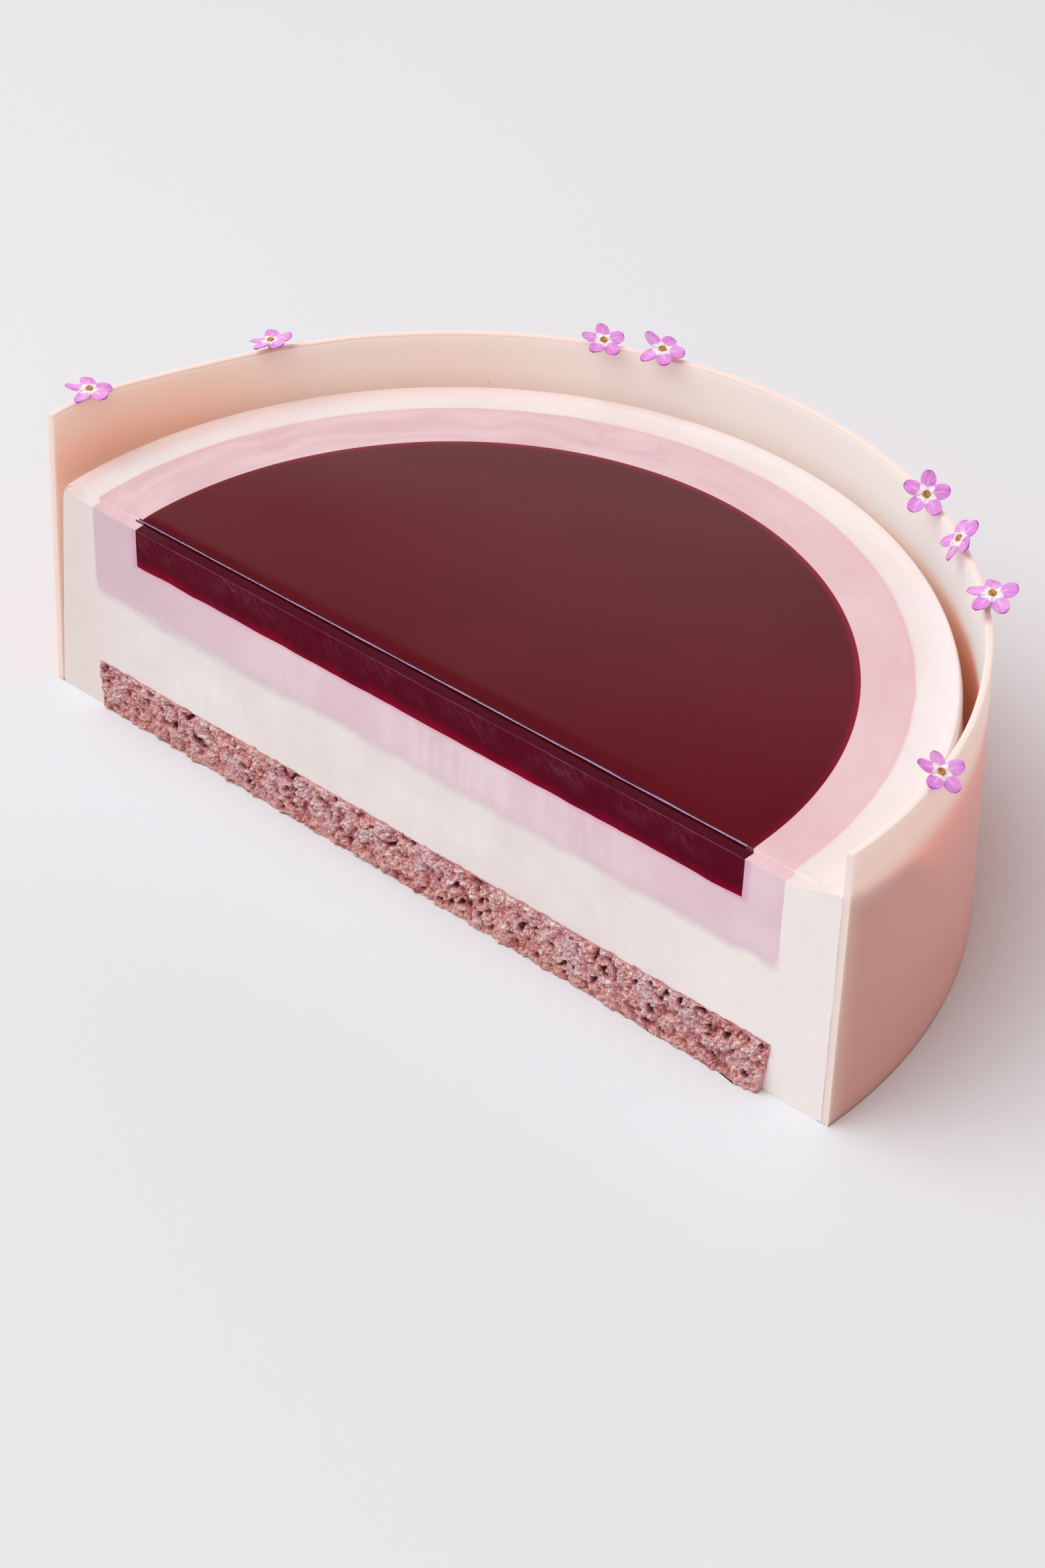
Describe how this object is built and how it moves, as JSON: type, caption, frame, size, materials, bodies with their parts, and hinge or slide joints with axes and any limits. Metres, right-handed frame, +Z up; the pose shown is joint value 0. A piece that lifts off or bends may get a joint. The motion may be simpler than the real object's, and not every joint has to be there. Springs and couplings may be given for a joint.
{
  "type": "layered mousse cake half",
  "caption": "Half of a round layered raspberry and elderflower mousse cake with a clear glaze, a tall white chocolate collar and small fresh flowers on its rim, cut face open.",
  "frame": {"origin": "on the flat underside, at the centre of the round cake that the half was cut from", "axes": "+X along the cut face towards its right end as seen facing the cut, +Y away from the cut face into the half, +Z up"},
  "size_m": [0.1729, 0.0935, 0.0542],
  "materials": {
    "sponge": "crumbly pink raspberry sponge, matte, with open pores",
    "cream": "set elderflower cream mousse, smooth and softly satin",
    "pink_mousse": "pale pink set raspberry mousse, smooth and softly satin",
    "jelly": "dark crimson set raspberry jelly, glossy and slightly see-through",
    "glaze": "clear neutral cake glaze, wet gloss",
    "chocolate": "tempered white chocolate tinted pale peach, soft satin",
    "petal": "fresh violet-pink petals, matte"
  },
  "bodies": {
    "root": {"sponge_base": "sponge", "elderflower_mousse": "cream", "raspberry_mousse": "pink_mousse", "raspberry_jelly": "jelly", "clear_glaze": "glaze", "chocolate_collar": "chocolate", "flower_1": "petal", "flower_2": "petal", "flower_3": "petal", "flower_4": "petal", "flower_5": "petal", "flower_6": "petal", "flower_7": "petal", "flower_8": "petal"}
  },
  "joints": []
}
